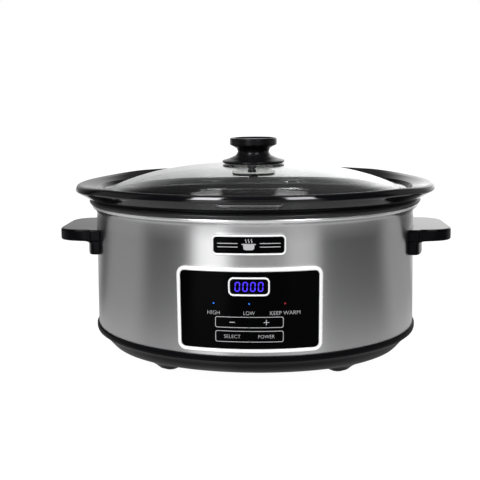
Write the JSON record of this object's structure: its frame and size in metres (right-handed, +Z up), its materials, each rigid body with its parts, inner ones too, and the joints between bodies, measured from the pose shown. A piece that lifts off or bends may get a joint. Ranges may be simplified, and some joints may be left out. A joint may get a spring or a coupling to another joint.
{
  "type": "slow cooker",
  "caption": "Oval steel-wrapped slow cooker with lift-out black crock, domed glass lid, side handles and a digital key panel.",
  "frame": {"origin": "on the table, under the middle of the part's box", "axes": "+X along the long axis towards the right-hand handle, +Z up, the control panel faces -Y"},
  "size_m": [0.4068, 0.2902, 0.24],
  "materials": {
    "brushed_steel": "fine horizontal brushing, satin",
    "bright_trim": "polished",
    "plain_steel": "plain zinc-plated",
    "coated_steel": "black enamel, satin",
    "gloss_black": "gloss",
    "satin_black": "fine moulded satin",
    "panel_black": "high gloss",
    "glazed_crock": "black glaze, high gloss",
    "lid_glass": "clear tempered glass",
    "rubber": "matt",
    "silicone": "translucent white",
    "circuit_board": "solder mask",
    "component_black": "moulded",
    "insulation": "white glass-fibre felt",
    "mica": "mica sheet",
    "blue_light": "lit blue",
    "red_light": "lit red",
    "wire_red": "silicone-insulated wire"
  },
  "bodies": {
    "housing": {"outer_wrap": "brushed_steel", "heating_well": "coated_steel", "base_pan": "satin_black", "heater_band": "mica", "insulation_blanket": "insulation", "temperature_sensor": "plain_steel", "sensor_spring": "plain_steel", "sensor_bracket": "plain_steel", "thermal_fuse": "plain_steel", "control_housing": "satin_black", "display_board": "circuit_board", "display_module": "component_black", "lamp_high": "blue_light", "lamp_low": "blue_light", "lamp_keep_warm": "red_light", "panel_bezel": "bright_trim", "panel_lens": "panel_black", "display_ring": "bright_trim", "display_window": "panel_black", "badge_frame": "bright_trim", "badge_plate": "panel_black", "power_board": "circuit_board", "relay": "component_black", "transformer": "plain_steel", "capacitor": "component_black", "terminal_block": "silicone", "ribbon_cable": "silicone", "heater_lead_left": "wire_red", "heater_lead_right": "wire_red", "cord_gland": "rubber", "foot_front_left": "rubber", "base_screw_front_left": "plain_steel", "foot_front_right": "rubber", "base_screw_front_right": "plain_steel", "foot_rear_left": "rubber", "base_screw_rear_left": "plain_steel", "foot_rear_right": "rubber", "base_screw_rear_right": "plain_steel", "handle_left": "gloss_black", "handle_screw_left_front": "plain_steel", "handle_screw_left_rear": "plain_steel", "handle_right": "gloss_black", "handle_screw_right_front": "plain_steel", "handle_screw_right_rear": "plain_steel", "minus_switch": "component_black", "plus_switch": "component_black", "select_switch": "component_black", "power_switch": "component_black"},
    "crock": {"crock": "glazed_crock"},
    "lid": {"lid_glass": "lid_glass", "lid_knob": "satin_black", "lid_seal": "silicone", "lid_washer": "satin_black", "knob_screw": "plain_steel", "vent_grommet": "rubber"},
    "minus_key": {"minus_button": "panel_black"},
    "plus_key": {"plus_button": "panel_black"},
    "select_key": {"select_button": "panel_black"},
    "power_key": {"power_button": "panel_black"}
  },
  "joints": [
    {"name": "crock_lift", "type": "slide", "parent": "housing", "child": "crock", "axis": [0, 0, 1], "range_m": [0, 0.16]},
    {"name": "lid_lift", "type": "slide", "parent": "crock", "child": "lid", "axis": [0, 0, 1], "range_m": [0, 0.1]},
    {"name": "minus_press", "type": "slide", "parent": "housing", "child": "minus_key", "axis": [0, 1, 0], "range_m": [0, 0.0006], "stiffness_N_per_m": 400},
    {"name": "plus_press", "type": "slide", "parent": "housing", "child": "plus_key", "axis": [0, 1, 0], "range_m": [0, 0.0006], "stiffness_N_per_m": 400},
    {"name": "select_press", "type": "slide", "parent": "housing", "child": "select_key", "axis": [0, 1, 0], "range_m": [0, 0.0006], "stiffness_N_per_m": 400},
    {"name": "power_press", "type": "slide", "parent": "housing", "child": "power_key", "axis": [0, 1, 0], "range_m": [0, 0.0006], "stiffness_N_per_m": 400}
  ]
}
